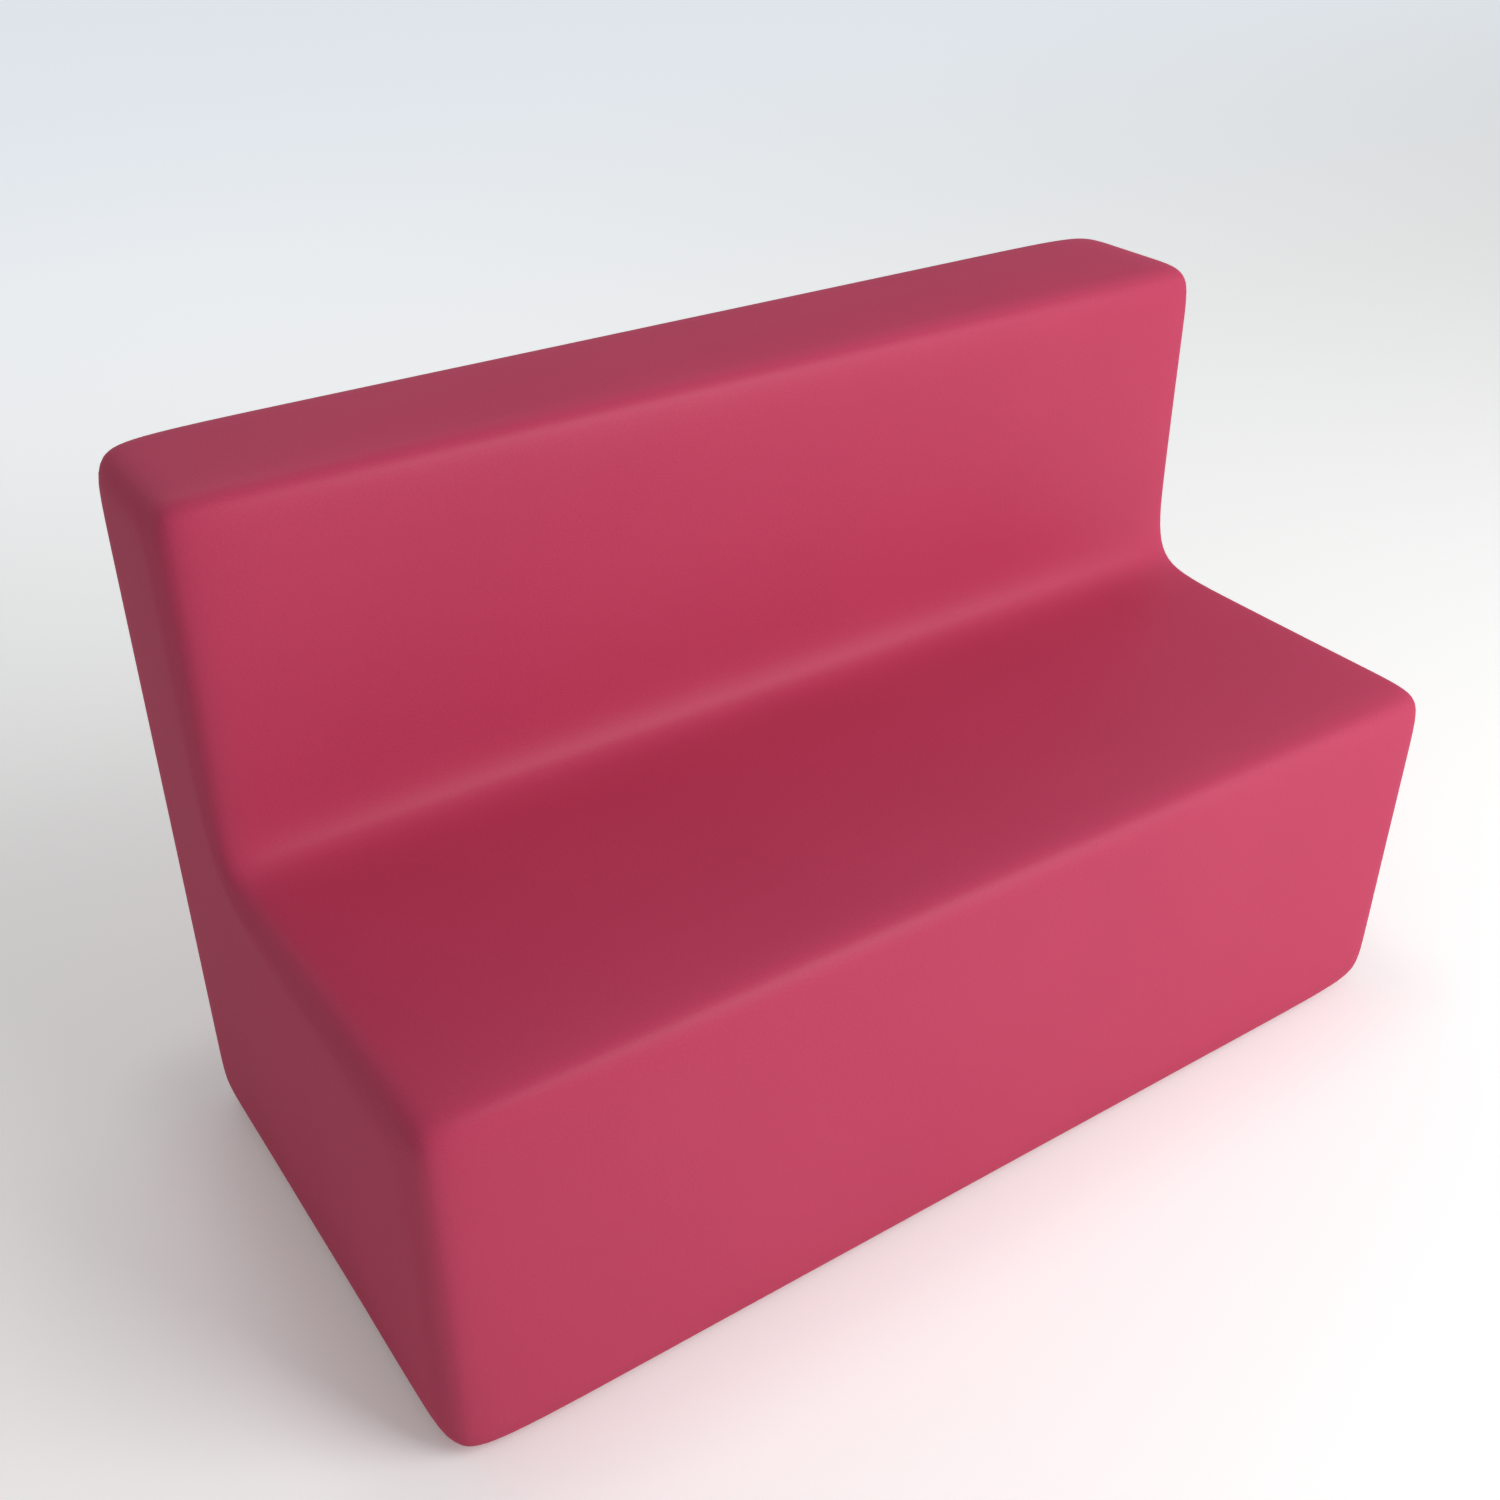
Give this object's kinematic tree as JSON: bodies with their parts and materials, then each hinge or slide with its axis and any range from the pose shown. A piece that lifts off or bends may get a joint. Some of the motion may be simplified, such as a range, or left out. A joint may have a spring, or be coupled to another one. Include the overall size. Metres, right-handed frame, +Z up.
{
  "type": "three-seater sofa",
  "caption": "Softly rounded block sofa: an undivided bench seat and an upright back under a one-piece stretch cover, resting on low glides.",
  "frame": {"origin": "on the floor under the middle of the sofa", "axes": "+X along the seat towards the sitter's left end, +Y towards the back, +Z up; the seat's front faces -Y"},
  "size_m": [1.35, 0.668, 0.857],
  "materials": {
    "stretch_cover": "fine stretch knit, raspberry red, soft satin sheen",
    "foam": "open-cell cut foam, off-white",
    "plywood": "raw plywood",
    "softwood": "planed softwood",
    "hardboard": "raw hardboard",
    "webbing": "woven elastic webbing, black",
    "nonwoven": "spunbond non-woven cloth, black",
    "black_plastic": "moulded, fine matt texture",
    "steel": "zinc-plated screws"
  },
  "bodies": {
    "root": {"cover": "stretch_cover", "seat_foam": "foam", "back_foam": "foam", "crease_cove": "foam", "front_foam": "foam", "rear_foam": "foam", "top_foam": "foam", "left_lower_foam": "foam", "right_lower_foam": "foam", "left_upper_foam": "foam", "right_upper_foam": "foam", "left_end_panel": "plywood", "right_end_panel": "plywood", "left_rib": "plywood", "right_rib": "plywood", "front_base_rail": "softwood", "rear_base_rail": "softwood", "front_seat_rail": "softwood", "rear_seat_rail": "softwood", "rear_middle_rail": "softwood", "top_front_rail": "softwood", "top_rear_rail": "softwood", "front_board": "hardboard", "rear_board": "hardboard", "top_board": "hardboard", "corner_blocks": "softwood", "frame_screws": "steel", "seat_webbing": "webbing", "seat_cross_webbing": "webbing", "back_webbing": "webbing", "seat_lining": "nonwoven", "base_cloth": "nonwoven", "glides": "black_plastic", "glide_screws": "steel"}
  },
  "joints": []
}
